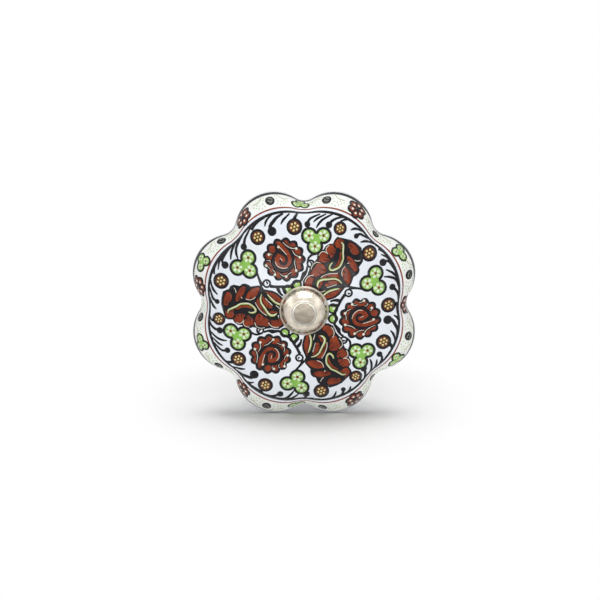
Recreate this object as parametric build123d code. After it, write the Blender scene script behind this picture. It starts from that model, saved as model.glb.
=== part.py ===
from build123d import *
import os
from math import acos, asin, atan2, cos, pi, radians, sin, sqrt, tan

# A glazed ceramic knob of eight soft lobes, held between a domed front cap and a pressed
# base cup by a bolt that runs through a drawer front to a washer and a hex nut.
# All sizes are in millimetres. The knob's axis is Y, its face looks along -Y, +Z is up and
# the origin is where the axis meets the front of the drawer.
# Heights are measured out from the drawer front, so a height h lies at y = -h.

# Ceramic body
LOBES = 8
RIM_RADIUS = 20.8  # mean radius at the widest ring
RIM_LOBE_DEPTH = 1.4  # how far a lobe stands out past the mean radius, and a groove in
GROOVE_RADIUS = 3.0  # of the hollow arc between two round lobes, at the widest ring
DOME_HEIGHT = 10.7  # from the widest ring to the top of the dome's ellipse
BACK_DEPTH = 8.0  # from the widest ring to the bottom of the back's ellipse
BACK_RADIUS = 8.8  # where the bowed back ends and the foot begins
FOOT_RADIUS = 8.2
FOOT_HEIGHT = 1.2
CAP_SEAT_RADIUS = 4.9
BODY_BORE_RADIUS = 2.6
FOOT_EDGE_CHAMFER = 0.3
DOME_GROOVE_FADE = 4  # how quickly the lobes melt into the dome, and below into the back
BACK_GROOVE_FADE = 2

# Pressed base cup
BASE_HEIGHT = 7.0
BASE_RIM_RADIUS = 10.0
BASE_RIM_HEIGHT = 1.1
BASE_NECK_RADIUS = 7.3
BASE_FLARE_HEIGHT = 4.4  # where the flare from the rim reaches the neck
BASE_TOP_CHAMFER = 0.8
BASE_WALL = 0.8

# Domed front cap
CAP_RADIUS = 4.6
CAP_LIP_WIDTH = 0.3
CAP_LIP_HEIGHT = 0.4
CAP_HEIGHT = 3.2
CAP_WALL = 0.6

# Bolt with its low round head
BOLT_RADIUS = 2.0
BOLT_CLEARANCE = 0.15  # round the bolt in the cap, the base cup and the washer
HEAD_RADIUS = 2.35
HEAD_HEIGHT = 0.4
HEAD_CHAMFER = 0.15
BOLT_REACH = 27.0  # behind the front of the drawer
BOLT_END_CHAMFER = 0.5

# Washer and nut, behind a drawer front of the usual thickness
DRAWER_FRONT_THICKNESS = 18.0
WASHER_RADIUS = 4.5
WASHER_THICKNESS = 0.8
WASHER_EDGE_CHAMFER = 0.15
NUT_ACROSS_FLATS = 7.0
NUT_HEIGHT = 3.2
NUT_CHAMFER_ANGLE = 30
THREAD_CLEARANCE = 0.02

# The body's skin is lofted from inside the foot to inside the cap's seat
SKIN_END_RADIUS = 4.0
POINTS_PER_LOBE = 8
SECTIONS_PER_SIDE = 6

BACK_START_ANGLE = asin(BACK_RADIUS / RIM_RADIUS)
DOME_END_ANGLE = acos(CAP_SEAT_RADIUS / RIM_RADIUS)
BACK_HEIGHT = BASE_HEIGHT + FOOT_HEIGHT
RIM_HEIGHT = BACK_HEIGHT + BACK_DEPTH * cos(BACK_START_ANGLE)
SEAT_HEIGHT = RIM_HEIGHT + DOME_HEIGHT * sin(DOME_END_ANGLE)
CAP_TOP = SEAT_HEIGHT + CAP_HEIGHT
BOLT_HOLE_RADIUS = BOLT_RADIUS + BOLT_CLEARANCE

# Half sections are drawn in this plane: x is the radius and y the height from the drawer
HALF_SECTION = Plane(origin=(0, 0, 0), x_dir=(1, 0, 0), z_dir=(0, 0, -1))


def level(height):
    """The plane across the axis at this height, facing away from the drawer."""
    return Plane(origin=(0, -height, 0), x_dir=(1, 0, 0), z_dir=(0, -1, 0))


def rod(radius, start, end):
    """A round rod on the axis, from one height to another."""
    return extrude(level(start) * Circle(radius), amount=end - start)


def turned(*outline):
    """The solid swept by a closed half section as it goes once round the axis."""
    return revolve(HALF_SECTION * make_face(Wire(outline)), Axis.Y)


def turned_polygon(*corners):
    """The solid swept by a straight-sided half section as it goes once round the axis."""
    return turned(*Polyline(*corners, close=True).edges())


def lobe_share(angle):
    """The rim's outline at an angle: 1 on the ridge of a lobe, -1 at the bottom of a groove.

    A lobe is a round arc and a groove a small hollow arc that meets it smoothly.
    """
    pitch = 2 * pi / LOBES
    from_groove = abs((angle + pitch / 2) % pitch - pitch / 2)
    from_ridge = pitch / 2 - from_groove
    ridge = RIM_RADIUS + RIM_LOBE_DEPTH
    groove_centre = RIM_RADIUS - RIM_LOBE_DEPTH + GROOVE_RADIUS
    reach = ridge + GROOVE_RADIUS
    lobe_centre = (reach**2 - groove_centre**2) / (2 * (reach - groove_centre * cos(pitch / 2)))
    lobe_radius = ridge - lobe_centre
    part_of_way = lobe_radius / (lobe_radius + GROOVE_RADIUS)
    across = lobe_centre * sin(pitch / 2) * (1 - part_of_way)
    along = lobe_centre * cos(pitch / 2) * (1 - part_of_way) + groove_centre * part_of_way
    if from_groove > atan2(across, along):
        drop = sqrt(lobe_radius**2 - (lobe_centre * sin(from_ridge)) ** 2)
        radius = lobe_centre * cos(from_ridge) + drop
    else:
        drop = sqrt(GROOVE_RADIUS**2 - (groove_centre * sin(from_groove)) ** 2)
        radius = groove_centre * cos(from_groove) - drop
    return (radius - RIM_RADIUS) / RIM_LOBE_DEPTH


def lobed_section(height, mean_radius, depth):
    """A closed outline of eight lobes, with grooves to the left, the right, above and below."""
    count = LOBES * POINTS_PER_LOBE
    angles = [2 * pi * i / count for i in range(count)]
    radii = [mean_radius + depth * lobe_share(angle) for angle in angles]
    points = [(r * cos(angle), r * sin(angle)) for r, angle in zip(radii, angles)]
    outline = Edge.make_spline(points, periodic=True, parameters=angles + [2 * pi])
    return level(height) * Face(Wire([outline]))


def faded(share, power):
    """The depth of the lobes at a share of the way from the widest ring to where they end."""
    return RIM_LOBE_DEPTH * max(1 - share**2, 0) ** power


def back_section(angle):
    """A section of the bowed back, from its foot at the start angle to the widest ring."""
    share = (pi / 2 - angle) / (pi / 2 - BACK_START_ANGLE)
    height = RIM_HEIGHT - BACK_DEPTH * cos(angle)
    return lobed_section(height, RIM_RADIUS * sin(angle), faded(share, BACK_GROOVE_FADE))


def dome_section(angle):
    """A section of the dome, from the widest ring at 0 to the seat of the cap."""
    share = sin(angle) / sin(DOME_END_ANGLE)
    height = RIM_HEIGHT + DOME_HEIGHT * sin(angle)
    return lobed_section(height, RIM_RADIUS * cos(angle), faded(share, DOME_GROOVE_FADE))


def steps(start, end, count):
    """Evenly spaced values that leave out the start and reach the end."""
    return [start + (end - start) * (i + 1) / count for i in range(count)]


def ceramic_body():
    """One lofted bun of clay with a flat seat in front, a short foot and a bore for the bolt."""
    inset = asin(SKIN_END_RADIUS / RIM_RADIUS)
    back = [back_section(a) for a in steps(pi / 2, inset, SECTIONS_PER_SIDE)]
    dome = [dome_section(a) for a in steps(0, pi / 2 - inset, SECTIONS_PER_SIDE)]
    skin = loft(back[::-1] + [dome_section(0)] + dome)
    bun = skin & rod(2 * RIM_RADIUS, BASE_HEIGHT, SEAT_HEIGHT)
    foot = rod(FOOT_RADIUS, BASE_HEIGHT, BACK_HEIGHT + FOOT_HEIGHT)
    foot = chamfer(foot.edges().sort_by(Axis.Y)[-1], FOOT_EDGE_CHAMFER)
    return bun + foot - rod(BODY_BORE_RADIUS, 0, CAP_TOP)


def base_cup():
    """A cup pressed from sheet, open towards the drawer, with a flare up to its narrow neck."""
    rim_inside = BASE_RIM_RADIUS - BASE_WALL
    neck_inside = BASE_NECK_RADIUS - BASE_WALL
    top_inside = BASE_HEIGHT - BASE_WALL
    return turned_polygon(
        (rim_inside, 0),
        (BASE_RIM_RADIUS, 0),
        (BASE_RIM_RADIUS, BASE_RIM_HEIGHT),
        (BASE_NECK_RADIUS, BASE_FLARE_HEIGHT),
        (BASE_NECK_RADIUS, BASE_HEIGHT - BASE_TOP_CHAMFER),
        (BASE_NECK_RADIUS - BASE_TOP_CHAMFER, BASE_HEIGHT),
        (BOLT_HOLE_RADIUS, BASE_HEIGHT),
        (BOLT_HOLE_RADIUS, top_inside),
        (neck_inside, top_inside),
        (neck_inside, BASE_FLARE_HEIGHT),
        (rim_inside, BASE_RIM_HEIGHT),
    )


def front_cap():
    """A dome pressed from sheet, with a thin flat lip on the ceramic and a hole in its top."""
    foot_radius = CAP_RADIUS - CAP_LIP_WIDTH
    foot_height = SEAT_HEIGHT + CAP_LIP_HEIGHT
    rise = CAP_HEIGHT - CAP_LIP_HEIGHT
    below = (foot_radius**2 - HEAD_RADIUS**2 - rise**2) / (2 * rise)
    sphere = sqrt(foot_radius**2 + below**2)
    inside_foot = (CAP_RADIUS - CAP_WALL, SEAT_HEIGHT)
    inside_top = (HEAD_RADIUS, CAP_TOP - CAP_WALL)
    return turned(
        Line(inside_foot, (CAP_RADIUS, SEAT_HEIGHT)),
        Line((CAP_RADIUS, SEAT_HEIGHT), (CAP_RADIUS, foot_height)),
        Line((CAP_RADIUS, foot_height), (foot_radius, foot_height)),
        RadiusArc((foot_radius, foot_height), (HEAD_RADIUS, CAP_TOP), -sphere),
        Line((HEAD_RADIUS, CAP_TOP), (BOLT_HOLE_RADIUS, CAP_TOP)),
        Line((BOLT_HOLE_RADIUS, CAP_TOP), (BOLT_HOLE_RADIUS, CAP_TOP - CAP_WALL)),
        Line((BOLT_HOLE_RADIUS, CAP_TOP - CAP_WALL), inside_top),
        Line(inside_top, inside_foot),
    )


def through_bolt():
    """A bolt whose low round head, ground flat, lies on top of the cap."""
    shank = rod(BOLT_RADIUS, -BOLT_REACH, CAP_TOP)
    shank = chamfer(shank.edges().sort_by(Axis.Y)[-1], BOLT_END_CHAMFER)
    head = rod(HEAD_RADIUS, CAP_TOP, CAP_TOP + HEAD_HEIGHT)
    head = chamfer(head.edges().sort_by(Axis.Y)[0], HEAD_CHAMFER)
    return shank + head


def flat_washer():
    """A plain round washer against the back of the drawer front."""
    near = -DRAWER_FRONT_THICKNESS
    far = near - WASHER_THICKNESS
    ring = rod(WASHER_RADIUS, far, near)
    ring = chamfer(ring.edges().filter_by(GeomType.CIRCLE), WASHER_EDGE_CHAMFER)
    return ring - rod(BOLT_HOLE_RADIUS, far, near)


def hex_nut():
    """A hex nut on the washer, with its corners chamfered on both faces."""
    near = -DRAWER_FRONT_THICKNESS - WASHER_THICKNESS
    far = near - NUT_HEIGHT
    prism = RegularPolygon(NUT_ACROSS_FLATS / 2, 6, major_radius=False)
    block = extrude(level(far) * prism, amount=NUT_HEIGHT)
    face_radius = NUT_ACROSS_FLATS / 2
    corner_radius = face_radius / cos(pi / 6)
    drop = (corner_radius - face_radius) * tan(radians(NUT_CHAMFER_ANGLE))
    envelope = turned_polygon(
        (0, far),
        (face_radius, far),
        (corner_radius, far + drop),
        (corner_radius, near - drop),
        (face_radius, near),
        (0, near),
    )
    return (block & envelope) - rod(BOLT_RADIUS + THREAD_CLEARANCE, far, near)


PIECES = {
    "ceramic_body": ceramic_body,
    "front_cap": front_cap,
    "base_cup": base_cup,
    "through_bolt": through_bolt,
    "flat_washer": flat_washer,
    "hex_nut": hex_nut,
}

os.makedirs("parts", exist_ok=True)
for name, make in PIECES.items():
    export_step(make(), f"parts/{name}.step")
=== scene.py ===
from math import acos, asin, atan2, ceil, cos, hypot, pi, radians, sin, sqrt

import bmesh
import bpy
from mathutils import Matrix, Vector
from mathutils.bvhtree import BVHTree


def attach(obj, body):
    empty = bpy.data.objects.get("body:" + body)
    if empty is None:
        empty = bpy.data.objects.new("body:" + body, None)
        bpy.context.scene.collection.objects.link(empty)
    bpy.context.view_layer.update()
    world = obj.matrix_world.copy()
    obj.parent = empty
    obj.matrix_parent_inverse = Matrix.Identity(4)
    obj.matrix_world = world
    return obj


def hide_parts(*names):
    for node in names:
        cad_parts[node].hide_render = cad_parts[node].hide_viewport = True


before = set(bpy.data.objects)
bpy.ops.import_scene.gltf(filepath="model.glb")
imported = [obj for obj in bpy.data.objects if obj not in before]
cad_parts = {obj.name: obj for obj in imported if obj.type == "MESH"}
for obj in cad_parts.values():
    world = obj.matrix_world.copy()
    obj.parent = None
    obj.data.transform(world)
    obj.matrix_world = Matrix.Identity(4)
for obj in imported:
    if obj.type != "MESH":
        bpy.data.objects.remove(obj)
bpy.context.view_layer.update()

# The camera looks straight at the knob's face from a little above, as for a catalogue photograph.
# At the widest ring of the knob one millimetre is 5.28 pixels of the 600-pixel frame. The ring's
# middle stands a little to the right of the frame's middle, and below it.
rim_height = 15.449
camera_elevation = radians(9)
camera_distance = 450.0
pixels_per_mm = 5.28
pixels_right = 4
pixels_below = 1.7
frame_mm = 600 / pixels_per_mm
camera_data = bpy.data.cameras.new("camera")
camera_data.sensor_width = 36
camera_data.lens = 36 * camera_distance / frame_mm
camera_data.clip_start = 0.01
camera = bpy.data.objects.new("camera", camera_data)
bpy.context.scene.collection.objects.link(camera)
bpy.context.scene.camera = camera
towards_camera = Vector((0, -cos(camera_elevation), sin(camera_elevation)))
camera_up = Vector((0, sin(camera_elevation), cos(camera_elevation)))
aim = Vector((-pixels_right / pixels_per_mm, -rim_height, 0)) + camera_up * (pixels_below / pixels_per_mm)
camera.location = (aim + towards_camera * camera_distance) / 1000
camera.rotation_euler = (pi / 2 - camera_elevation, 0, 0)

# Ceramic body: one moulded bun of white clay with eight soft lobes, a short foot behind, a flat
# seat in front and a bore for the bolt. It is dipped in a clear gloss glaze over the print. Two
# fine lines and a black rim line run round it in rings, and between them lies a pale green band.
rim_radius = 20.8
lobe_depth = 1.4
groove_radius = 3.0
dome_height = 10.7
back_depth = 8.0
back_start = asin(8.8 / rim_radius)
foot_radius = 8.2
foot_base = 7.0
foot_round = 0.3
seat_radius = 4.9
bore_radius = 2.6
dome_end = acos(seat_radius / rim_radius)
body_steps = 320
rim_line = (4.5, 10.0)
rust_line = (25.4, 26.8)
inner_line = (28.9, 31.2)


def lobe_share(angle):
    """The rim's outline at an angle: 1 on the ridge of a lobe, -1 at the bottom of a groove."""
    pitch = pi / 4
    from_groove = abs((angle + pitch / 2) % pitch - pitch / 2)
    from_ridge = pitch / 2 - from_groove
    ridge = rim_radius + lobe_depth
    groove_centre = rim_radius - lobe_depth + groove_radius
    reach = ridge + groove_radius
    lobe_centre = (reach**2 - groove_centre**2) / (2 * (reach - groove_centre * cos(pitch / 2)))
    lobe_radius = ridge - lobe_centre
    near = groove_radius / (lobe_radius + groove_radius)
    across = lobe_centre * sin(pitch / 2) * near
    along = lobe_centre * cos(pitch / 2) * near + groove_centre * (1 - near)
    if from_groove > atan2(across, along):
        radius = lobe_centre * cos(from_ridge) + sqrt(lobe_radius**2 - (lobe_centre * sin(from_ridge)) ** 2)
    else:
        radius = groove_centre * cos(from_groove) - sqrt(groove_radius**2 - (groove_centre * sin(from_groove)) ** 2)
    return (radius - rim_radius) / lobe_depth


def lobes_at(height):
    """How deep the lobes still are at a height in front of the drawer."""
    if height > rim_height:
        share = min((height - rim_height) / dome_height / sin(dome_end), 1)
        return lobe_depth * (1 - share**2) ** 4
    tilt = acos(max(-1, min(1, (rim_height - height) / back_depth)))
    share = min((pi / 2 - tilt) / (pi / 2 - back_start), 1)
    return lobe_depth * (1 - share**2) ** 2


def between(start, end, step):
    """Even values from a start up to, but without, an end."""
    count = ceil(abs(end - start) / step)
    return [start + (end - start) * i / count for i in range(count)]


def srgb(red, green, blue, alpha=1.0):
    """A colour given as it looks on screen, in 0 to 255, as the shader wants it."""
    parts = [c / 255 for c in (red, green, blue)]
    return tuple(c / 12.92 if c < 0.04045 else ((c + 0.055) / 1.055) ** 2.4 for c in parts) + (alpha,)


def fired(name, colour, clouded, cloud_scale=500.0, roughness=0.12, ripple=0.02):
    """A glossy fired colour, a little uneven where it lies thinner, under one clear glaze."""
    material = bpy.data.materials.new(name)
    material.use_nodes = True
    nodes, links = material.node_tree.nodes, material.node_tree.links
    shader = nodes["Principled BSDF"]
    shader.inputs["Roughness"].default_value = roughness
    shader.inputs["IOR"].default_value = 1.5
    shader.inputs["Specular IOR Level"].default_value = 0.2
    place = nodes.new("ShaderNodeTexCoord")
    clouds = nodes.new("ShaderNodeTexNoise")
    clouds.inputs["Scale"].default_value = cloud_scale
    clouds.inputs["Detail"].default_value = 3
    links.new(place.outputs["Object"], clouds.inputs["Vector"])
    ramp = nodes.new("ShaderNodeValToRGB")
    ramp.color_ramp.elements[0].position = 0.35
    ramp.color_ramp.elements[1].position = 0.65
    ramp.color_ramp.elements[0].color = clouded
    ramp.color_ramp.elements[1].color = colour
    links.new(clouds.outputs["Fac"], ramp.inputs["Fac"])
    links.new(ramp.outputs["Color"], shader.inputs["Base Color"])
    swell = nodes.new("ShaderNodeTexNoise")
    swell.inputs["Scale"].default_value = 160
    links.new(place.outputs["Object"], swell.inputs["Vector"])
    bump = nodes.new("ShaderNodeBump")
    bump.inputs["Strength"].default_value = ripple
    bump.inputs["Distance"].default_value = 0.002
    links.new(swell.outputs["Fac"], bump.inputs["Height"])
    links.new(bump.outputs["Normal"], shader.inputs["Normal"])
    return material


def finished(bm, name, materials):
    """Makes a piece, drawn in millimetres, into an object that rides on the knob."""
    bmesh.ops.scale(bm, vec=(0.001, 0.001, 0.001), verts=bm.verts)
    for face in bm.faces:
        face.smooth = True
    mesh = bpy.data.meshes.new(name)
    bm.to_mesh(mesh)
    bm.free()
    for material in materials:
        mesh.materials.append(material)
    piece = bpy.data.objects.new(name, mesh)
    bpy.context.scene.collection.objects.link(piece)
    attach(piece, "root")
    return piece


def in_order(bm):
    """Puts the parts in a fixed order, because that of a spin changes from run to run."""
    along = Vector((1, 37, 3))
    bm.verts.sort(key=lambda corner: corner.co.dot(along))
    bm.faces.sort(key=lambda face: face.calc_center_median().dot(along))


def spun(outline, steps, closed=True):
    """The skin that a half section of (radius, height) points makes round the axis.

    A half section that is not closed has its two ends on the axis.
    """
    bm = bmesh.new()
    corners = [bm.verts.new((radius, -height, 0)) for radius, height in outline]
    for start, end in zip(corners, corners[1:] + corners[:1] if closed else corners[1:]):
        bm.edges.new((start, end))
    bmesh.ops.spin(
        bm, geom=bm.verts[:] + bm.edges[:], cent=(0, 0, 0), axis=(0, 1, 0), angle=2 * pi, steps=steps, use_merge=True
    )
    bmesh.ops.remove_doubles(bm, verts=bm.verts, dist=1e-4)
    bmesh.ops.recalc_face_normals(bm, faces=bm.faces)
    in_order(bm)
    return bm


ring_tilts = [0.0, *rim_line, *rust_line, *inner_line]
dome_tilts = []
for start, end in zip(ring_tilts, ring_tilts[1:]):
    dome_tilts += between(radians(start), radians(end), radians(1.4))
dome_tilts += between(radians(ring_tilts[-1]), dome_end, radians(1.6))
outline = [(bore_radius, foot_base), (foot_radius - foot_round, foot_base)]
outline += [
    (foot_radius - foot_round * (1 - sin(a)), foot_base + foot_round * (1 - cos(a)))
    for a in (radians(30), radians(60), radians(90))
]
outline += [
    (rim_radius * sin(a), rim_height - back_depth * cos(a))
    for a in between(asin(foot_radius / rim_radius) + 0.004, pi / 2, radians(2.4))
]
outline += [(rim_radius * cos(t), rim_height + dome_height * sin(t)) for t in dome_tilts]
seat_height = rim_height + dome_height * sin(dome_end)
outline += [(seat_radius, seat_height), (bore_radius, seat_height)]
body = spun(outline, body_steps)
for corner in body.verts:
    radius, angle, height = hypot(corner.co.x, corner.co.z), atan2(corner.co.z, corner.co.x), -corner.co.y
    if radius > foot_radius + 0.05 or height > rim_height + dome_height / 2 and radius > seat_radius:
        grown = (radius + lobes_at(height) * lobe_share(angle)) / radius
        corner.co.x *= grown
        corner.co.z *= grown
BAND_SKIN, BLACK_SKIN, RUST_SKIN = 1, 2, 3
ring_colours = (
    (rim_line, BLACK_SKIN), ((rim_line[1], rust_line[0]), BAND_SKIN), (rust_line, RUST_SKIN), (inner_line, BLACK_SKIN),
)
for face in body.faces:
    middle = face.calc_center_median()
    tilt = asin(max(-1, min(1, (-middle.y - rim_height) / dome_height)))
    if middle.y > -rim_height or hypot(middle.x, middle.z) < seat_radius:
        continue
    for (start, end), colour in ring_colours:
        if radians(start) < tilt < radians(end):
            face.material_index = colour
glaze_tree = BVHTree.FromBMesh(body)

white_glaze = fired("white_glaze", srgb(240, 244, 250), srgb(235, 240, 248), cloud_scale=120)
band_glaze = fired("band_glaze", srgb(250, 251, 249), srgb(246, 248, 242), cloud_scale=260)
black_enamel = fired("black_enamel", srgb(16, 16, 20), srgb(25, 25, 31), cloud_scale=900)
rust_enamel = fired("rust_enamel", srgb(150, 62, 30), srgb(120, 46, 24), cloud_scale=700)
piece = finished(body, "glazed_body", [white_glaze, band_glaze, black_enamel, rust_enamel])
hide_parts("ceramic_body")

# Printed flowers: a decal of coloured enamels under the glaze, drawn in flat fields and strokes.
# Each field or stroke is a film of enamel a few hundredths of a millimetre thick on the clay.
# The drawing is laid out in millimetres, seen from the front: x to the right, z up. A lift is a
# film's height off the clay, and the colour that is laid later has the larger one. A field's
# underside lies at film_floor, in the clay, and a field is cut into cells to follow the dome.
drawing_centre = Vector((0.15, -0.3))
film_floor = -0.03
film_cell = 0.7
held_from = 12
held_over = 4


def onto_face(x, z, lift):
    """The point on the dome straight behind a point of the drawing, this far off the clay."""
    hit, normal, _, _ = glaze_tree.ray_cast(Vector((x, -60, z)), Vector((0, 1, 0)))
    return hit + normal * lift


def flowing(points, closed=False, per_span=6):
    """A smooth line through the points, with the values that each point carries."""
    last = len(points)
    ends = [points[-1], *points, points[0], points[1]] if closed else [points[0], *points, points[-1]]
    line = []
    for i in range(last if closed else last - 1):
        a, b, c, d = ends[i : i + 4]
        for k in range(per_span):
            t = k / per_span
            line.append([
                0.5 * (2 * q + (r - p) * t + (2 * p - 5 * q + 4 * r - s) * t**2 + (3 * q - p - 3 * r + s) * t**3)
                for p, q, r, s in zip(a, b, c, d)
            ])
    if not closed:
        line.append(list(points[-1]))
    return line


def film(target, curve, colour, lift, relief, place):
    """Lays the drawn curve on the clay as a thin closed film and adds it to a piece."""
    drawn = bpy.data.objects.new(curve.name, curve)
    mesh = bpy.data.meshes.new_from_object(drawn)
    bpy.data.objects.remove(drawn)
    bm = bmesh.new()
    bm.from_mesh(mesh)
    bpy.data.meshes.remove(mesh)
    bmesh.ops.remove_doubles(bm, verts=bm.verts, dist=1e-4)
    if relief is None:
        for axis in (0, 1):
            low = min(v.co[axis] for v in bm.verts)
            high = max(v.co[axis] for v in bm.verts)
            way = Vector((1 - axis, axis, 0))
            for step in between(low, high, film_cell)[1:]:
                everything = bm.verts[:] + bm.edges[:] + bm.faces[:]
                bmesh.ops.bisect_plane(bm, geom=everything, plane_co=way * step, plane_no=way)
        # A cut that passes through a corner leaves that corner doubled.
        bmesh.ops.remove_doubles(bm, verts=bm.verts, dist=1e-4)
    for corner in bm.verts:
        x, z, depth = corner.co
        off = lift + relief * depth if relief else (lift if depth > 0 else film_floor)
        corner.co = place(x, z, off)
    bmesh.ops.recalc_face_normals(bm, faces=bm.faces)
    for face in bm.faces:
        face.material_index = colour
    laid = bpy.data.meshes.new("laid")
    bm.to_mesh(laid)
    bm.free()
    target.from_mesh(laid)
    bpy.data.meshes.remove(laid)


def fields(target, outlines, colour, lift, place=onto_face):
    """Flat fields of enamel inside closed outlines."""
    curve = bpy.data.curves.new("field", "CURVE")
    curve.dimensions = "2D"
    curve.fill_mode = "BOTH"
    curve.extrude = 0.01
    for outline in outlines:
        spline = curve.splines.new("POLY")
        spline.use_cyclic_u = True
        spline.points.add(len(outline) - 1)
        for point, (x, z) in zip(spline.points, outline):
            point.co = (x, z, 0, 1)
    film(target, curve, colour, lift, None, place)


def strokes(target, lines, colour, lift=0.03, place=onto_face):
    """Brush strokes: each line is a list of (x, z, width) points that the brush passes."""
    curve = bpy.data.curves.new("stroke", "CURVE")
    curve.dimensions = "3D"
    curve.bevel_depth = 1.0
    curve.bevel_resolution = 1
    curve.use_fill_caps = True
    curve.twist_mode = "Z_UP"
    for line in lines:
        path = flowing(line)
        spline = curve.splines.new("POLY")
        spline.points.add(len(path) - 1)
        for point, (x, z, width) in zip(spline.points, path):
            point.co = (x, z, 0, 1)
            point.radius = max(width / 2, 0.02)
    film(target, curve, colour, lift, 0.08, place)


def disc(x, z, radius, sides=18, tall=1.0, turn=0.0):
    """A round or oval field's outline."""
    ring = []
    for i in range(sides):
        across, along = radius * cos(2 * pi * i / sides), radius * tall * sin(2 * pi * i / sides)
        ring.append((x + across * cos(turn) - along * sin(turn), z + across * sin(turn) + along * cos(turn)))
    return ring


def inner_border(angle):
    """The radius of the inner black line, seen from the front."""
    tilt = radians(inner_line[1])
    return rim_radius * cos(tilt) + lobes_at(rim_height + dome_height * sin(tilt)) * lobe_share(angle)


def thrice(shapes, held=False):
    """The shapes with their two other turns round the drawing, fitted to the lobed border if held."""
    turned = []
    for third in range(3):
        spin = Matrix.Rotation(2 * pi / 3 * third, 2)
        for shape in shapes:
            copy = []
            for x, z, *rest in shape:
                place = spin @ (Vector((x, z)) - drawing_centre) + drawing_centre
                if held:
                    pull = max(0, min(1, (hypot(x, z) - held_from) / held_over))
                    place *= 1 + pull * (inner_border(atan2(place.y, place.x)) / inner_border(atan2(z, x)) - 1)
                copy.append((place.x, place.y, *rest))
            turned.append(copy)
    return turned


def moved_in(x, z, margin):
    """The point, moved straight in where it comes nearer to the inner border line than the margin."""
    out = hypot(x, z)
    near = min(out, inner_border(atan2(z, x)) - margin)
    return x * near / out, z * near / out


green_enamel = fired("green_enamel", srgb(150, 202, 96), srgb(132, 188, 78), cloud_scale=800)
cream_enamel = fired("cream_enamel", srgb(244, 240, 226), srgb(232, 226, 208), cloud_scale=900)
lime_enamel = fired("lime_enamel", srgb(184, 196, 104), srgb(160, 178, 80), cloud_scale=900)
pale_enamel = fired("pale_enamel", srgb(240, 248, 228), srgb(218, 236, 194), cloud_scale=1400)
brown_enamel = fired("brown_enamel", srgb(116, 50, 28), srgb(88, 40, 24), cloud_scale=900)
leaf_enamel = fired("leaf_enamel", srgb(164, 206, 112), srgb(148, 196, 92), cloud_scale=900)
straw_enamel = fired("straw_enamel", srgb(238, 228, 160), srgb(224, 210, 130), cloud_scale=1200)
enamels = [
    black_enamel, rust_enamel, green_enamel, cream_enamel, lime_enamel, pale_enamel, brown_enamel, straw_enamel,
    leaf_enamel,
]
BLACK, RUST, GREEN, CREAM, LIME, PALE, BROWN, STRAW, LEAF = range(9)

# Fronds: tapering black brush strokes that sweep in from the inner border line, some of them
# ending in a round drop.
frond_lines = [
    (0.42, 0.6, [(8.3, 16.4), (7.4, 16.3), (6.7, 16.05)]),
    (0.45, 1.2, [(7.4, 16.85), (6.2, 16.65), (5.2, 16.2), (4.65, 15.5)]),
    (0.38, 0.5, [(5.4, 17.4), (4.4, 16.95), (3.4, 16.4), (2.7, 15.7), (2.25, 15.0)]),
    (0.36, 0.6, [(4.1, 17.4), (3.2, 17.0), (2.4, 16.6), (1.75, 16.05)]),
    (0.4, 1.3, [(3.0, 17.4), (1.9, 17.0), (1.0, 16.5), (0.6, 15.7)]),
    (0.6, 1.2, [(-1.2, 17.6), (-1.6, 17.0), (-1.9, 16.4)]),
    (0.4, 0.5, [(-2.7, 17.5), (-3.35, 16.9), (-3.95, 16.3), (-4.3, 15.6)]),
    (0.58, 1.5, [(-3.9, 17.5), (-5.0, 16.85), (-5.7, 16.1), (-6.3, 15.2), (-6.05, 14.4)]),
    (0.38, 0.5, [(-5.9, 17.3), (-6.7, 16.6), (-7.15, 15.9), (-7.3, 15.15)]),
    (0.52, 0.9, [(-7.2, 16.8), (-8.4, 16.1), (-9.3, 15.3), (-9.75, 14.4)]),
    (0.42, 1.5, [(-9.9, 15.0), (-10.5, 13.85), (-11.0, 12.8), (-11.2, 11.5)]),
    (0.42, 0.5, [(-11.3, 14.0), (-12.0, 12.5), (-12.6, 11.2), (-12.6, 10.1), (-12.25, 9.2)]),
    (0.42, 0.6, [(-12.3, 13.1), (-12.95, 11.7), (-13.5, 10.4), (-13.65, 9.0)]),
    (0.38, 1.3, [(-13.2, 12.2), (-14.05, 10.75), (-14.95, 9.4), (-15.25, 8.6), (-14.85, 8.0)]),
    (0.34, 0.6, [(-14.3, 11.0), (-15.1, 9.7), (-15.8, 8.4), (-16.0, 7.0)]),
    (0.36, 1.0, [(-15.6, 9.5), (-16.3, 8.15), (-16.75, 7.1), (-16.75, 6.1)]),
    (0.42, 0.5, [(-17.5, 5.2), (-17.2, 3.9), (-16.8, 3.1), (-16.1, 2.4)]),
    (0.42, 1.2, [(-17.6, 3.6), (-17.25, 2.3), (-16.95, 1.6), (-16.3, 1.1)]),
    (0.42, 0.5, [(-17.6, 1.8), (-17.2, 0.7), (-16.85, 0.1), (-16.35, -0.35)]),
]
drops = [
    (4.6, 15.5, 0.62), (0.6, 15.65, 0.56), (-5.95, 14.35, 0.84), (-11.2, 11.4, 0.6), (-14.7, 7.95, 0.68),
    (-16.2, 1.1, 0.47),
]
border_gap = 0.25
frond_overlap = 0.3
frond_strokes = []
for width, end, points in frond_lines:
    swell = [0.6, 0.9] + [1.1] * (len(points) - 3) + [end]
    frond_strokes.append([(x, z, width * share) for (x, z), share in zip(points, swell)])
fronds = bmesh.new()
placed_fronds = [
    [(*moved_in(x, z, width / 2 - frond_overlap), width) for x, z, width in line]
    for line in thrice(frond_strokes, held=True)
]
strokes(fronds, placed_fronds, BLACK)
for [(x, z, radius)] in thrice([[drop] for drop in drops], held=True):
    fields(fronds, [disc(*moved_in(x, z, border_gap + radius), radius)], BLACK, 0.03)
finished(fronds, "border_fronds", enamels)

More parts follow.
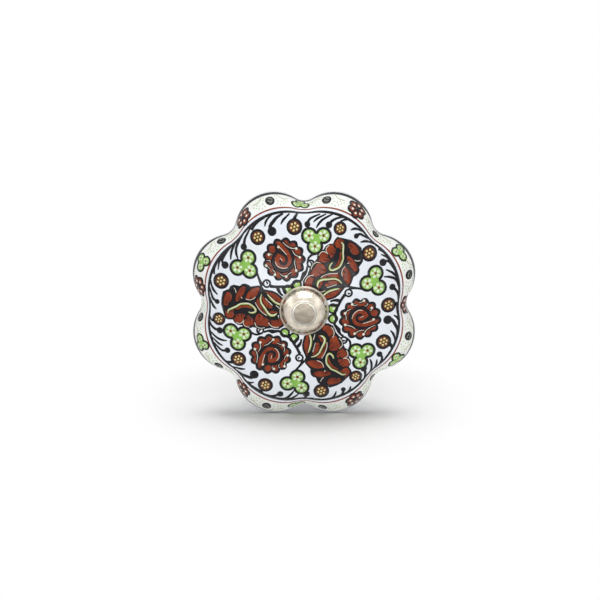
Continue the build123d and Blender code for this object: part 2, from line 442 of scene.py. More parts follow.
# Berries: a thick dark ring filled with brown, with one pale dot in the middle and six round it.
berry_spots = [(6.7, 14.85, 1.25), (-1.8, 15.2, 1.5), (-8.6, 13.25, 1.45), (-15.45, 5.0, 1.5)]
berries = bmesh.new()
berry_places = [
    (*moved_in(x, z, border_gap + radius), radius)
    for [(x, z, radius)] in thrice([[spot] for spot in berry_spots], held=True)
]
dots = []
for x, z, radius in berry_places:
    dots.append(disc(x, z, radius * 0.14, 8))
    for i in range(6):
        turn = 2 * pi * i / 6 + 0.3
        dots.append(disc(x + 0.42 * radius * cos(turn), z + 0.42 * radius * sin(turn), radius * 0.145, 8))
fields(berries, [disc(*place) for place in berry_places], BLACK, 0.02)
fields(berries, [disc(x, z, radius * 0.7) for x, z, radius in berry_places], BROWN, 0.035)
fields(berries, dots, STRAW, 0.05)
finished(berries, "berries", enamels)

# Rosettes: a black scalloped flower with rust petals, a spiral heart, fine white lines between
# the petals and a white dot at each petal's end.
rosette_centre = (-3.7, 9.35)
petal_count = 13


def scalloped(centre, radius, depth, count, turn=0.0, sides_each=6):
    """A closed outline of round petals."""
    ring = []
    for i in range(count * sides_each):
        angle = 2 * pi * i / (count * sides_each)
        reach = radius + depth * (abs(sin(count * angle / 2)) - 0.6)
        ring.append((centre[0] + reach * cos(angle + turn), centre[1] + reach * sin(angle + turn)))
    return ring


heart_line = [
    (-4.5, 9.25, 0.35), (-4.2, 8.7, 0.5), (-3.6, 8.6, 0.5), (-3.2, 9.15, 0.45), (-3.4, 9.9, 0.5),
    (-4.1, 10.5, 0.7), (-4.8, 10.9, 0.75), (-5.15, 11.6, 0.55), (-5.2, 12.3, 0.4),
]
cup_line = [
    (-4.0, 12.6, 0.35), (-3.1, 11.5, 0.42), (-2.35, 10.45, 0.5), (-2.0, 9.3, 0.6), (-2.2, 8.3, 0.72),
    (-3.05, 7.5, 0.75),
    (-4.2, 7.3, 0.7), (-5.2, 7.8, 0.7), (-5.75, 8.7, 0.65), (-5.65, 9.7, 0.6), (-5.3, 10.4, 0.6), (-4.9, 10.9, 0.5),
]
petal_lines = [
    [(-3.95, 12.45, 0.1), (-3.1, 11.75, 0.15), (-2.3, 11.4, 0.15), (-1.55, 11.4, 0.13)],
    [(-2.15, 11.0, 0.1), (-1.7, 10.3, 0.15), (-0.95, 9.9, 0.13)],
    [(-1.65, 9.4, 0.1), (-1.75, 8.7, 0.14), (-1.6, 8.0, 0.14), (-1.5, 7.5, 0.12)],
    [(-2.3, 7.1, 0.1), (-2.8, 6.8, 0.13), (-3.25, 6.35, 0.12)],
    [(-3.4, 6.4, 0.12), (-3.9, 6.4, 0.13), (-4.5, 6.85, 0.1)],
    [(-5.3, 6.65, 0.12), (-5.4, 7.1, 0.12), (-5.8, 7.5, 0.1)],
    [(-7.0, 8.15, 0.12), (-6.6, 7.95, 0.12), (-6.25, 7.6, 0.1)],
    [(-6.9, 9.1, 0.1), (-6.4, 9.15, 0.12), (-6.2, 8.8, 0.08)],
    [(-6.5, 10.2, 0.12), (-6.15, 10.35, 0.12), (-5.9, 10.15, 0.08)],
]
heart_lights = [
    [(-4.55, 11.6, 0.1), (-3.9, 10.95, 0.15), (-3.2, 10.2, 0.12)],
    [(-5.3, 8.95, 0.1), (-5.05, 8.3, 0.15), (-4.4, 7.9, 0.15), (-3.6, 7.78, 0.15), (-3.0, 7.95, 0.1)],
    [(-4.45, 9.65, 0.1), (-4.2, 9.4, 0.12), (-3.95, 9.15, 0.08)],
]
petal_dots = [
    (-4.75, 11.6), (-1.45, 11.35), (-0.8, 9.8), (-1.45, 7.4), (-3.3, 6.3), (-5.4, 6.6), (-7.0, 8.2), (-6.5, 10.2),
]
rosettes = bmesh.new()
fields(rosettes, thrice([scalloped(rosette_centre, 3.84, 0.5, petal_count, 0.27)]), BLACK, 0.02)
fields(rosettes, thrice([scalloped(rosette_centre, 3.26, 0.6, petal_count, 0.27)]), RUST, 0.035)
strokes(rosettes, thrice([heart_line, cup_line]), BLACK, 0.05)
strokes(rosettes, thrice([[(x, z, width + 0.42) for x, z, width in line] for line in petal_lines]), BLACK, 0.04)
white_lines = [[(x, z, width * 0.8) for x, z, width in line] for line in petal_lines + heart_lights]
strokes(rosettes, thrice(white_lines), CREAM, 0.075)
fields(rosettes, thrice([disc(x, z, 0.25, 8) for x, z in petal_dots]), CREAM, 0.085)
finished(rosettes, "rosettes", enamels)

# Leaf sprays: three broad black leaves that run out from the cap, with large rust lobes, fine
# white edges and curls in lime with a cream light along them.
spray_outline = [
    (-15.1, 3.1), (-14.5, 3.45), (-14.0, 3.6), (-13.7, 4.2), (-13.1, 4.5), (-12.4, 4.4), (-11.9, 4.3), (-11.5, 4.7),
    (-10.9, 4.8),
    (-10.3, 4.6), (-9.9, 4.3), (-9.2, 4.45), (-8.4, 4.55), (-7.8, 4.45), (-7.4, 3.9), (-6.6, 3.75), (-5.8, 3.65),
    (-5.0, 3.3),
    (-4.3, 2.7), (-3.7, 2.1), (-3.4, 0.0), (-3.4, -2.2), (-3.8, -3.0), (-4.6, -3.5), (-5.5, -3.5), (-6.4, -3.25),
    (-7.2, -3.6),
    (-8.1, -3.7), (-8.9, -3.4), (-9.5, -3.3), (-10.2, -3.6), (-11.0, -3.5), (-11.5, -3.05), (-12.3, -3.0),
    (-12.9, -2.6),
    (-13.2, -2.05), (-14.0, -2.1), (-14.7, -1.95), (-14.95, -1.1), (-15.2, -0.2), (-15.45, 0.7), (-15.4, 1.7),
    (-15.25, 2.5),
]
spray_lobes = [
    [(-14.95, 0.7), (-14.95, 1.6), (-14.7, 2.4), (-14.35, 2.95), (-13.85, 2.95), (-13.5, 2.5), (-13.45, 1.9),
     (-13.8, 1.2), (-14.3, 0.6)],
    [(-12.7, 1.55), (-12.6, 2.5), (-12.25, 3.35), (-11.85, 3.95), (-11.2, 4.25), (-10.9, 3.85), (-11.1, 3.1),
     (-11.45, 2.4), (-12.1, 1.6)],
    [(-10.8, 2.05), (-10.5, 2.9), (-10.0, 3.6), (-9.3, 4.0), (-8.6, 4.15), (-8.35, 3.85), (-8.55, 3.2), (-8.95, 2.5),
     (-9.4, 2.05), (-10.1, 1.85)],
    [(-7.4, 3.35), (-6.7, 3.4), (-5.8, 3.25), (-5.0, 2.85), (-4.35, 2.2), (-3.9, 1.55), (-4.4, 1.25), (-5.1, 1.55),
     (-5.7, 2.05), (-6.2, 2.65), (-6.7, 3.0)],
    [(-8.95, 1.4), (-8.55, 2.0), (-8.15, 2.0), (-8.1, 1.2), (-7.75, 0.5), (-7.25, -0.2), (-6.9, -0.85),
     (-7.5, -0.55), (-8.25, 0.15), (-8.7, 0.85)],
    [(-7.75, 2.35), (-7.4, 2.5), (-7.0, 1.9), (-6.5, 1.35), (-6.0, 0.85), (-6.05, 0.45), (-6.7, 0.4), (-7.2, 0.75),
     (-7.65, 1.4)],
    [(-6.65, -0.15), (-6.0, 0.0), (-5.2, -0.1), (-4.8, -0.4), (-5.5, -0.6), (-6.2, -0.65), (-6.6, -0.45)],
    [(-14.6, -0.5), (-14.55, -1.35), (-14.0, -1.75), (-13.2, -1.65), (-12.9, -1.2), (-13.15, -0.7), (-12.9, 0.0),
     (-13.5, 0.05), (-14.1, -0.25)],
    [(-12.8, -0.05), (-12.2, 0.45), (-11.5, 0.72), (-10.8, 0.82), (-10.1, 0.72), (-9.5, 0.3), (-9.9, 0.15),
     (-10.7, 0.3), (-11.5, 0.2), (-12.2, -0.15)],
    [(-12.95, -1.55), (-12.5, -1.05), (-11.8, -0.85), (-11.1, -1.0), (-10.9, -1.45), (-11.25, -1.95),
     (-11.45, -2.45), (-12.0, -2.7), (-12.65, -2.5), (-12.95, -2.0)],
    [(-11.15, -2.3), (-10.85, -1.5), (-10.3, -1.2), (-9.7, -1.6), (-9.25, -2.4), (-9.4, -2.95), (-10.1, -3.25),
     (-10.85, -3.15), (-11.2, -2.7)],
    [(-9.05, -1.7), (-8.65, -0.95), (-8.15, -0.75), (-7.6, -1.1), (-6.9, -1.6), (-6.4, -2.1), (-6.55, -2.75),
     (-7.2, -3.25), (-8.0, -3.35), (-8.8, -3.05), (-9.1, -2.4)],
    [(-6.4, -2.2), (-5.9, -1.8), (-5.2, -1.8), (-4.5, -1.5), (-3.95, -1.75), (-4.05, -2.5), (-4.7, -3.05),
     (-5.5, -3.1), (-6.2, -2.75)],
]
spray_curls = [
    [(-14.2, -0.9, 0.16), (-14.0, -0.3, 0.34), (-13.3, 0.1, 0.38), (-12.6, 0.45, 0.38), (-11.9, 0.92, 0.38),
     (-11.1, 1.08, 0.4),
     (-10.3, 1.08, 0.4), (-9.6, 0.72, 0.4), (-9.05, 0.15, 0.42), (-9.05, -0.35, 0.4), (-9.7, -0.58, 0.36),
     (-10.3, -0.45, 0.2)],
    [(-7.85, 2.95, 0.2), (-8.05, 2.2, 0.36), (-7.95, 1.4, 0.38), (-7.55, 0.75, 0.4), (-7.1, 0.1, 0.42),
     (-6.7, -0.5, 0.46),
     (-6.1, -0.95, 0.5), (-5.45, -0.85, 0.4), (-5.1, -0.55, 0.2)],
    [(-6.8, 3.0, 0.2), (-6.25, 2.35, 0.38), (-5.5, 1.65, 0.42), (-4.8, 1.25, 0.42), (-4.0, 1.05, 0.3)],
]
spray_lights = [[(x + 0.03, z + 0.06, width * 0.42) for x, z, width in curl] for curl in spray_curls]
spray_edges = [
    [(-9.0, 2.4), (-9.5, 1.98), (-10.2, 1.82), (-10.85, 2.0)],
    [(-6.85, -0.98), (-7.5, -0.62), (-8.25, 0.1), (-8.75, 0.85), (-9.05, 1.4)],
    [(-7.15, 2.25), (-6.7, 1.75), (-6.2, 1.3), (-5.85, 0.9)],
    [(-5.2, 0.95), (-4.8, 0.6), (-4.4, 0.15)],
    [(-11.2, -1.95), (-11.45, -2.45), (-12.0, -2.72), (-12.65, -2.52)],
    [(-11.2, -2.25), (-11.25, -2.75), (-10.85, -3.2), (-10.1, -3.3)],
    [(-9.15, -2.35), (-8.85, -3.1), (-8.1, -3.42), (-7.3, -3.3)],
    [(-6.65, -2.3), (-6.2, -2.85), (-5.5, -3.18), (-4.7, -3.12)],
    [(-13.05, 3.95), (-12.7, 3.5), (-12.6, 3.0)],
    [(-11.65, 2.3), (-11.45, 2.05)],
]
spine_height = 0.3


def middle_of(points):
    """The middle of a group of points."""
    return [sum(point[axis] for point in points) / len(points) for axis in (0, 1)]


sprays = bmesh.new()
fields(sprays, thrice([spray_outline]), BLACK, 0.02)
spray_rims, spray_folds = [], []
for lobe in spray_lobes:
    middle_x, middle_z = middle_of(lobe)
    inwards = (max(z for _, z in lobe) - min(z for _, z in lobe)) / 2
    if middle_z > spine_height:
        inwards = -inwards
    petal = [(middle_x + 1.16 * (x - middle_x), middle_z + 1.12 * (z - middle_z)) for x, z in lobe]
    spray_rims.append([(x, z, 0.2) for x, z in petal + petal[:1]])
    fields(sprays, thrice([flowing(petal, closed=True, per_span=3)]), RUST, 0.035)
    half_width = (max(x for x, _ in lobe) - min(x for x, _ in lobe)) / 2
    for side, reach in ((-0.32, 0.25), (0.3, 0.1)):
        nick_x = middle_x + side * half_width
        spray_folds.append([
            (nick_x - 0.1, middle_z + 0.9 * inwards, 0.24),
            (nick_x + 0.05, middle_z + 0.5 * inwards, 0.14),
            (nick_x, middle_z + reach * inwards, 0.05),
        ])
strokes(sprays, thrice(spray_rims + spray_folds), BLACK, 0.042)
curl_rims = [[(x, z, width + 0.25) for x, z, width in curl] for curl in spray_curls]
strokes(sprays, thrice(curl_rims), BLACK, 0.038)
strokes(sprays, thrice(spray_curls), LIME, 0.07)
strokes(sprays, thrice(spray_lights), CREAM, 0.088)
strokes(sprays, thrice([[(x, z, 0.12) for x, z in edge] for edge in spray_edges]), CREAM, 0.065)
finished(sprays, "leaf_sprays", enamels)

# Trefoils: three round green leaves in one thick black outline, each with a rust eye and pale
# wedges that run out from it.
trefoil_leaves = [
    ((0.95, 13.65), (3.6, 13.65), (2.0, 11.75)),
    ((-12.35, 7.65), (-10.35, 9.5), (-10.05, 7.2)),
]
wedge_steps = ((0.3, 0.26), (0.62, 0.56), (0.9, 0.42))
trefoils = bmesh.new()
leaf_eyes, leaf_wedges = [], []
for leaves in trefoil_leaves:
    for x, z in leaves:
        fields(trefoils, thrice([disc(x, z, 1.56)]), BLACK, 0.02)
        fields(trefoils, thrice([disc(x, z, 1.08)]), LEAF, 0.035)
        leaf_eyes.append(disc(x, z, 0.25, 8))
        for i in range(5):
            turn = 2 * pi * i / 5 + 0.7 * x
            leaf_wedges.append([(x + r * cos(turn), z + r * sin(turn), width) for r, width in wedge_steps])
    middle_x, middle_z = middle_of(leaves)
    fields(trefoils, thrice([disc(middle_x, middle_z, 0.95)]), GREEN, 0.038)
strokes(trefoils, thrice(leaf_wedges), PALE, 0.04)
fields(trefoils, thrice(leaf_eyes), RUST, 0.075)
finished(trefoils, "trefoils", enamels)

# Vines: black tendrils that join the leaves, with small rings on them, and pairs of green
# leaflets that peep out from under the cap.
vine_lines = [
    [(-9.0, 8.0, 0.4), (-8.7, 6.8, 0.4), (-8.35, 5.8, 0.42), (-8.0, 5.0, 0.6), (-7.7, 4.5, 0.75)],
    [(-6.3, 4.5, 0.6), (-5.2, 4.4, 0.5), (-4.0, 4.45, 0.5), (-2.9, 4.4, 0.5), (-2.1, 4.9, 0.5), (-1.3, 5.4, 0.5),
     (-0.6, 5.6, 0.5),
     (-0.3, 6.2, 0.6), (0.0, 6.9, 0.85)],
    [(-4.9, 4.4, 0.6), (-4.7, 3.7, 0.6), (-4.3, 3.1, 0.4), (-3.9, 2.8, 0.4)],
    [(-3.9, 4.3, 0.6), (-3.6, 3.7, 0.6), (-3.3, 3.2, 0.45)],
    [(0.0, 6.8, 0.85), (0.45, 7.4, 0.45), (0.6, 8.2, 0.4)],
    [(0.9, 6.2, 0.6), (1.0, 7.0, 0.5), (1.5, 7.8, 0.5), (2.1, 8.6, 0.5), (2.6, 9.5, 0.45), (2.8, 10.4, 0.4)],
    [(0.65, 8.9, 0.4), (0.85, 9.7, 0.4), (1.5, 10.25, 0.4), (2.2, 10.4, 0.4)],
]
ring_spots = [(-6.9, 4.95, 0.64), (1.22, 8.65, 0.6)]
round_turn = [2 * pi * i / 12 for i in range(13)]
for x, z, radius in ring_spots:
    vine_lines.append([(x + radius * cos(a), z + radius * sin(a), 0.36) for a in round_turn])
    vine_lines.append([(x - 0.15, z + 0.35, 0.2), (x + 0.12, z + 0.1, 0.28), (x, z - 0.15, 0.16)])
leaflets = [(-1.35, 4.85, 0.6), (-3.0, 3.85, 0.65)]
vines = bmesh.new()
strokes(vines, thrice(vine_lines), BLACK, 0.03)
for x, z, radius in leaflets:
    fields(vines, thrice([disc(x, z, radius + 0.36)]), BLACK, 0.018)
fields(vines, thrice([disc(x, z, radius) for x, z, radius in leaflets]), LEAF, 0.035)
fields(vines, thrice([disc(x - 0.1, z + 0.15, radius * 0.4, 8) for x, z, radius in leaflets]), PALE, 0.045)
finished(vines, "vines", enamels)

# Band ornaments: small rust flowers, green trefoils and streaked black balls round the pale
# band, with thin green bows and specks between them.
band_tilt = radians(17.6)
band_stretch = hypot(rim_radius * sin(band_tilt), dome_height * cos(band_tilt))
flower_angles = (0, 61, 125, 170, 234, 298)
sprig_turns = {29: 0, 92: 30, 157: 60, 201: 0, 266: 30, 329: 0}
ball_angles = (16, 45, 78, 108, 142, 187, 216, 250, 280, 313, 343)
bow_line = ((1.3, -1.35, 0.1), (1.8, -0.65, 0.12), (2.5, -0.3, 0.14), (3.2, -0.45, 0.1))
speck_spots = (
    (1.15, 0.95), (1.75, 1.2), (2.35, 0.95), (1.4, 0.35), (2.0, 0.5),
    (2.75, 0.55), (1.2, -0.35), (2.5, 0.1), (1.0, -1.0), (3.2, 0.2),
)


def round_band(degrees_round):
    """Places a drawing round the band: x along it in millimetres, z across it towards the face."""
    def place(x, z, lift):
        angle = radians(degrees_round) - x / (rim_radius * cos(band_tilt))
        height = rim_height + dome_height * sin(band_tilt + z / band_stretch)
        out = Vector((cos(angle), 0, sin(angle)))
        hit, normal, _, _ = glaze_tree.ray_cast(Vector((0, -height, 0)) + out * 60, -out)
        return hit + normal * lift
    return place


band = bmesh.new()
for angle in flower_angles:
    place = round_band(angle)
    fields(band, [scalloped((0, 0), 1.85, 0.4, 6)], BLACK, 0.02, place)
    fields(band, [scalloped((0, 0), 1.4, 0.4, 6)], RUST, 0.035, place)
    strokes(band, [
        [(0.5 * cos(a), 0.5 * sin(a), 0.3), (1.6 * cos(a), 1.6 * sin(a), 0.2)]
        for a in [pi * i / 3 for i in range(6)]
    ], BLACK, 0.04, place)
    fields(band, [
        disc(0.95 * cos(a), 0.95 * sin(a), 0.24, 8) for a in [pi * (i + 0.5) / 3 for i in range(6)]
    ], CREAM, 0.05, place)
    fields(band, [disc(0, 0, 0.5, 10)], BLACK, 0.055, place)
for angle, turn in sprig_turns.items():
    place = round_band(angle)
    tips = [(0.92 * cos(a), 0.82 * sin(a)) for a in (radians(turn), radians(turn + 120), radians(turn + 240))]
    for x, z in tips:
        fields(band, [disc(x, z, 1.02)], BLACK, 0.02, place)
    for x, z in tips + [(0, 0)]:
        fields(band, [disc(x, z, 0.68)], LEAF, 0.035, place)
    for x, z in tips:
        fields(band, [
            disc(x + 0.36 * cos(a), z + 0.36 * sin(a), 0.2, 8) for a in [2 * pi * i / 4 + 0.5 for i in range(4)]
        ], PALE, 0.045, place)
    fields(band, [disc(x, z, 0.13, 6) for x, z in tips], RUST, 0.055, place)
for angle in ball_angles:
    place = round_band(angle)
    fields(band, [disc(0, 0, 0.85, tall=1.2)], BLACK, 0.03, place)
    strokes(band, [
        [(-0.45, 0.0, 0.05), (0.05, 0.4, 0.07), (0.4, 0.3, 0.05)],
        [(-0.2, -0.55, 0.05), (0.5, -0.2, 0.05)],
    ], PALE, 0.045, place)
    strokes(band, [[(side * x, z, width) for x, z, width in bow_line] for side in (-1, 1)], LIME, 0.03, place)
    specks = [(side * x, z) for side in (-1, 1) for x, z in speck_spots]
    fields(band, [disc(x, z, 0.11, 6) for x, z in specks], GREEN, 0.03, place)
finished(band, "band_ornaments", enamels)

# Front cap: a dome pressed from thin sheet and plated with nickel, with a narrow sloping lip on
# the ceramic. Handling and polishing have left its skin softly dimpled and scratched.


def metal(name, colour, worn, roughness, dimple_scale, dimple, scratch):
    """A plated metal with soft dimples, fine scratches and duller worn spots."""
    material = bpy.data.materials.new(name)
    material.use_nodes = True
    nodes, links = material.node_tree.nodes, material.node_tree.links
    shader = nodes["Principled BSDF"]
    shader.inputs["Metallic"].default_value = 1.0
    place = nodes.new("ShaderNodeTexCoord")
    patches = nodes.new("ShaderNodeTexNoise")
    patches.inputs["Scale"].default_value = 700
    patches.inputs["Detail"].default_value = 4
    links.new(place.outputs["Object"], patches.inputs["Vector"])
    tone = nodes.new("ShaderNodeValToRGB")
    tone.color_ramp.elements[0].position = 0.3
    tone.color_ramp.elements[1].position = 0.6
    tone.color_ramp.elements[0].color = worn
    tone.color_ramp.elements[1].color = colour
    links.new(patches.outputs["Fac"], tone.inputs["Fac"])
    links.new(tone.outputs["Color"], shader.inputs["Base Color"])
    dull = nodes.new("ShaderNodeMapRange")
    dull.inputs["To Min"].default_value = roughness + 0.12
    dull.inputs["To Max"].default_value = roughness - 0.05
    links.new(patches.outputs["Fac"], dull.inputs["Value"])
    links.new(dull.outputs["Result"], shader.inputs["Roughness"])
    dimples = nodes.new("ShaderNodeTexNoise")
    dimples.inputs["Scale"].default_value = dimple_scale
    links.new(place.outputs["Object"], dimples.inputs["Vector"])
    soft = nodes.new("ShaderNodeBump")
    soft.inputs["Strength"].default_value = dimple
    soft.inputs["Distance"].default_value = 0.0004
    links.new(dimples.outputs["Fac"], soft.inputs["Height"])
    grain = nodes.new("ShaderNodeTexNoise")
    grain.inputs["Scale"].default_value = 4000
    links.new(place.outputs["Object"], grain.inputs["Vector"])
    fine = nodes.new("ShaderNodeBump")
    fine.inputs["Strength"].default_value = scratch
    fine.inputs["Distance"].default_value = 0.0001
    links.new(grain.outputs["Fac"], fine.inputs["Height"])
    links.new(soft.outputs["Normal"], fine.inputs["Normal"])
    links.new(fine.outputs["Normal"], shader.inputs["Normal"])
    return material


cap_radius = 4.6
lip_width = 0.3
lip_height = 0.4
cap_height = 3.2
cap_wall = 0.6
head_radius = 2.35
bolt_hole = 2.15
cap_foot = cap_radius - lip_width
cap_rise = cap_height - lip_height
cap_drop = (cap_foot**2 - head_radius**2 - cap_rise**2) / (2 * cap_rise)
cap_sphere = hypot(cap_foot, cap_drop)
cap_top = seat_height + cap_height
first = atan2(cap_drop, cap_foot)
last = atan2(cap_rise + cap_drop, head_radius)
dome_line = [
    (cap_sphere * cos(a), seat_height + lip_height - cap_drop + cap_sphere * sin(a))
    for a in between(first, last, radians(3))
]
lip_line = [
    (cap_radius, seat_height), (cap_radius + 0.02, seat_height + 0.08), (cap_radius, seat_height + 0.16),
    (cap_radius - 0.1, seat_height + 0.28), (cap_radius - 0.2, seat_height + lip_height - 0.05),
    (cap_foot + 0.04, seat_height + lip_height - 0.04),
]
cap_outline = [
    (cap_radius - cap_wall, seat_height), *lip_line, *dome_line,
    (head_radius + 0.05, cap_top - 0.02), (head_radius - 0.03, cap_top),
    (bolt_hole, cap_top), (bolt_hole, cap_top - cap_wall), (head_radius, cap_top - cap_wall),
]
nickel = metal("nickel", srgb(228, 218, 202), srgb(194, 185, 170), 0.24, 800, 0.4, 0.15)
# The lip gets a darker, duller nickel: painted shade in the ring where the cap meets the ceramic.
lip_painted_shade_nickel = metal("lip_painted_shade_nickel", srgb(190, 182, 168), srgb(160, 152, 139), 0.36, 700, 0.25, 0.2)
cap = spun(cap_outline, 128)
for face in cap.faces:
    middle = face.calc_center_median()
    # Faces of the lip take the darker nickel of the painted shade.
    on_lip = -middle.y < seat_height + lip_height and hypot(middle.x, middle.z) > cap_foot - 0.02
    face.material_index = 1 if on_lip else 0
piece = finished(cap, "nickel_cap", [nickel, lip_painted_shade_nickel])
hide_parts("front_cap")

# Through bolt: steel, plated, with a low round head ground flat on top of the cap. A metric
# thread of 0.7 mm pitch is rolled on it from inside the base cup to its end.
bolt_radius = 2.0
thread_pitch = 0.7
thread_depth = 0.38
bolt_reach = 27.0
thread_start = 6.0
bolt_end_chamfer = 0.5
head_height = 0.4
head_top = cap_top + head_height
ground_radius = head_radius - 0.45
head_outline = [
    (0, cap_top - 0.3), (bolt_radius - 0.05, cap_top - 0.3), (bolt_radius - 0.05, cap_top),
    (head_radius - 0.14, cap_top), (head_radius - 0.14, cap_top + 0.06), (head_radius, cap_top + 0.1),
    (head_radius, head_top - 0.27), (head_radius - 0.1, head_top - 0.13), (head_radius - 0.25, head_top - 0.04),
    (head_radius - 0.38, head_top), (0, head_top),
]
shank_radius = bolt_radius - 0.02
shank_outline = [(0, cap_top - 0.2), (shank_radius, cap_top - 0.2), (shank_radius, thread_start), (0, thread_start)]
bolt = spun(head_outline, 96, closed=False)
for face in bolt.faces:
    middle = face.calc_center_median()
    face.material_index = 0 if middle.y < -cap_top and hypot(middle.x, middle.z) < ground_radius else 1
shank = spun(shank_outline, 48, closed=False)
shank_mesh = bpy.data.meshes.new("shank")
for face in shank.faces:
    face.material_index = 1
shank.to_mesh(shank_mesh)
shank.free()
bolt.from_mesh(shank_mesh)
bpy.data.meshes.remove(shank_mesh)
thread = bmesh.new()
turn_steps = 32
turns = int((bolt_reach + thread_start) / thread_pitch) + 3
root = bolt_radius - thread_depth
tooth = [
    (root, 0), (root + 0.02, 0.06), (shank_radius, 0.3), (shank_radius, 0.4), (root + 0.02, 0.64), (root, thread_pitch),
]
tooth_start = -thread_start - thread_pitch
corners = [thread.verts.new((radius, tooth_start + along, 0)) for radius, along in tooth]
for start, end in zip(corners, corners[1:]):
    thread.edges.new((start, end))
bmesh.ops.spin(
    thread, geom=thread.verts[:] + thread.edges[:], cent=(0, 0, 0), axis=(0, 1, 0),
    dvec=(0, thread_pitch / turn_steps, 0), angle=2 * pi * turns, steps=turn_steps * turns,
)
bmesh.ops.remove_doubles(thread, verts=thread.verts, dist=1e-3)
for height, way in ((-thread_start, -1), (bolt_reach, 1)):
    everything = thread.verts[:] + thread.edges[:] + thread.faces[:]
    bmesh.ops.bisect_plane(
        thread, geom=everything, plane_co=(0, height, 0), plane_no=(0, way, 0), clear_outer=True
    )
rims = [e for e in thread.edges if e.is_boundary]
bmesh.ops.holes_fill(thread, edges=rims, sides=0)
for corner in thread.verts:
    from_end = bolt_reach - corner.co.y
    if from_end < bolt_end_chamfer:
        limit = bolt_radius - bolt_end_chamfer + from_end
        radius = hypot(corner.co.x, corner.co.z)
        if radius > limit:
            corner.co.x *= limit / radius
            corner.co.z *= limit / radius
bmesh.ops.recalc_face_normals(thread, faces=thread.faces)
in_order(thread)
for face in thread.faces:
    face.material_index = 1
thread_mesh = bpy.data.meshes.new("thread")
thread.to_mesh(thread_mesh)
thread.free()
bolt.from_mesh(thread_mesh)
bpy.data.meshes.remove(thread_mesh)
head_steel = metal("ground_steel", srgb(148, 140, 128), srgb(138, 130, 118), 0.42, 900, 0.3, 0.25)
plain_steel = metal("plated_steel", srgb(200, 198, 190), srgb(176, 172, 160), 0.3, 500, 0.1, 0.1)
piece = finished(bolt, "threaded_bolt", [head_steel, plain_steel])
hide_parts("through_bolt")

# Base cup: pressed from sheet and nickel plated, between the ceramic foot and the drawer front.
base_line = [
    (9.2, 0.0), (10.0, 0.0), (10.02, 0.1), (10.02, 0.9), (9.95, 1.15), (9.75, 1.4), (9.0, 2.2), (8.2, 3.2),
    (7.65, 4.0), (7.4, 4.7), (7.3, 5.4),
    (7.3, 6.3), (7.2, 6.65), (6.95, 6.9), (6.5, 7.0), (2.15, 7.0), (2.15, 6.2), (6.4, 6.2), (6.5, 5.9), (6.5, 5.2),
    (6.65, 4.4), (7.0, 3.6),
    (7.7, 2.6), (8.6, 1.6), (9.1, 1.1), (9.2, 0.9),
]
cup_nickel = metal("cup_nickel", srgb(230, 221, 206), srgb(212, 203, 188), 0.3, 400, 0.1, 0.15)
piece = finished(spun(base_line, 128), "nickel_base_cup", [cup_nickel])
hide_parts("base_cup")

# Washer and nut: plated steel, plain, turned and pressed. They clamp the drawer front.
washer_near = -18.0
washer_far = -18.8
washer_line = [
    (2.15, washer_near), (4.38, washer_near), (4.46, washer_near - 0.04), (4.5, washer_near - 0.12),
    (4.5, washer_far + 0.2),
    (4.44, washer_far + 0.06), (4.3, washer_far), (2.25, washer_far), (2.15, washer_far + 0.08),
]
piece = finished(spun(washer_line, 96), "plated_washer", [plain_steel])
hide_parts("flat_washer")
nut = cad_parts["hex_nut"]
nut.data.materials.clear()
nut.data.materials.append(plain_steel)

# Studio: a white floor just under the lowest lobes, a white background and soft white lamps.
floor_level = -21.15


def in_sight(nodes, links, shown=None):
    """1 where the camera or a polished surface looks at the white, and 0 where it lights the knob."""
    rays = nodes.new("ShaderNodeLightPath")
    sight = rays.outputs["Is Camera Ray"]
    if shown:
        share = nodes.new("ShaderNodeMath")
        share.operation = "MULTIPLY"
        links.new(sight, share.inputs[0])
        links.new(shown, share.inputs[1])
        sight = share.outputs["Value"]
    for kind in ("Is Glossy Ray", "Is Transmission Ray"):
        either = nodes.new("ShaderNodeMath")
        either.operation = "MAXIMUM"
        links.new(sight, either.inputs[0])
        links.new(rays.outputs[kind], either.inputs[1])
        sight = either.outputs["Value"]
    return sight


floor_bm = bmesh.new()
bmesh.ops.create_grid(floor_bm, x_segments=1, y_segments=1, size=4.0)
bmesh.ops.translate(floor_bm, vec=(0, 0, floor_level / 1000), verts=floor_bm.verts)
floor_mesh = bpy.data.meshes.new("floor")
floor_bm.to_mesh(floor_mesh)
floor_bm.free()
floor = bpy.data.objects.new("floor", floor_mesh)
bpy.context.scene.collection.objects.link(floor)
floor_paint = bpy.data.materials.new("floor_paint")
floor_paint.use_nodes = True
floor_shader = floor_paint.node_tree.nodes["Principled BSDF"]
floor_shader.inputs["Base Color"].default_value = (0.95, 0.95, 0.95, 1)
floor_shader.inputs["Roughness"].default_value = 1.0
floor_shader.inputs["Specular IOR Level"].default_value = 0.0
floor_nodes, floor_links = floor_paint.node_tree.nodes, floor_paint.node_tree.links
floor_place = floor_nodes.new("ShaderNodeTexCoord")
from_knob = floor_nodes.new("ShaderNodeVectorMath")
from_knob.operation = "LENGTH"
floor_oval = floor_nodes.new("ShaderNodeMapping")
floor_oval.inputs["Location"].default_value = (0, 0.005, -floor_level / 1000)
floor_oval.inputs["Scale"].default_value = (1.7, 1, 1)
floor_links.new(floor_place.outputs["Object"], floor_oval.inputs["Vector"])
floor_links.new(floor_oval.outputs["Vector"], from_knob.inputs[0])
fade = floor_nodes.new("ShaderNodeMapRange")
fade.interpolation_type = "SMOOTHSTEP"
fade.inputs["From Min"].default_value = 0.014
fade.inputs["From Max"].default_value = 0.06
floor_links.new(from_knob.outputs["Value"], fade.inputs["Value"])
paper = floor_nodes.new("ShaderNodeEmission")
paper.inputs["Color"].default_value = (1, 1, 1, 1)
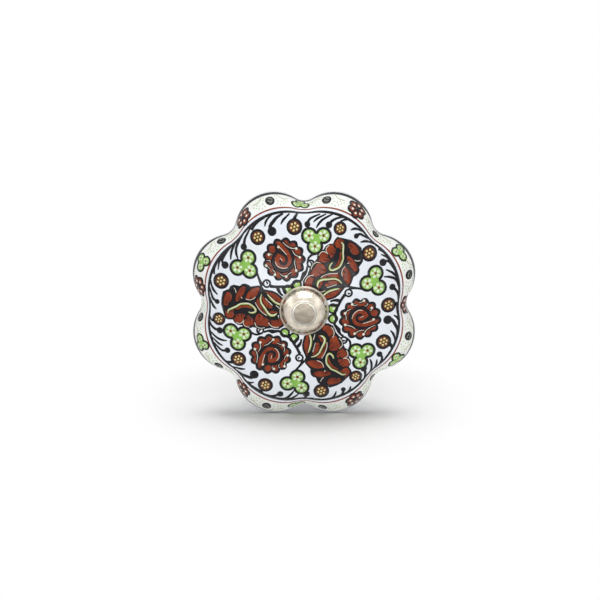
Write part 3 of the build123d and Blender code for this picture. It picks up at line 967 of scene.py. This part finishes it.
floor_mix = floor_nodes.new("ShaderNodeMixShader")
floor_links.new(in_sight(floor_nodes, floor_links, fade.outputs["Result"]), floor_mix.inputs[0])
floor_links.new(floor_shader.outputs[0], floor_mix.inputs[1])
floor_links.new(paper.outputs[0], floor_mix.inputs[2])
floor_links.new(floor_mix.outputs[0], floor_nodes["Material Output"].inputs["Surface"])
floor_mesh.materials.append(floor_paint)

world = bpy.data.worlds.new("studio")
bpy.context.scene.world = world
world.use_nodes = True
sky_nodes, sky_links = world.node_tree.nodes, world.node_tree.links
lighting = sky_nodes["Background"]
lighting.inputs["Color"].default_value = (1.0, 1.0, 1.0, 1)
lighting.inputs["Strength"].default_value = 0.23
backdrop = sky_nodes.new("ShaderNodeBackground")
backdrop.inputs["Color"].default_value = (1, 1, 1, 1)
backdrop.inputs["Strength"].default_value = 1.0
chosen = sky_nodes.new("ShaderNodeMixShader")
sky_links.new(in_sight(sky_nodes, sky_links), chosen.inputs[0])
sky_links.new(lighting.outputs[0], chosen.inputs[1])
sky_links.new(backdrop.outputs[0], chosen.inputs[2])
sky_links.new(chosen.outputs[0], sky_nodes["World Output"].inputs["Surface"])

for name, place, turn, across, deep, power in (
    ("lamp_front", (0.0, -1.0, 0.2), 0, 1.3, 0.35, 5.2),
    ("lamp_above", (0.0, 0.06, 0.85), 0, 0.7, 0.65, 4.2),
    ("lamp_left", (-0.85, -0.05, 0.5), -90, 0.7, 0.5, 0.75),
    ("lamp_right", (0.85, -0.05, 0.5), 90, 0.7, 0.5, 0.75),
):
    lamp_data = bpy.data.lights.new(name, "AREA")
    lamp_data.shape = "RECTANGLE"
    lamp_data.size = across
    lamp_data.size_y = deep
    lamp_data.energy = power
    lamp = bpy.data.objects.new(name, lamp_data)
    lamp.location = place
    tilt = atan2(hypot(place[0], place[1]), place[2]) if turn else atan2(-place[1], place[2])
    lamp.rotation_euler = (tilt, 0, radians(turn))
    bpy.context.scene.collection.objects.link(lamp)
bpy.context.scene.view_settings.view_transform = "Standard"
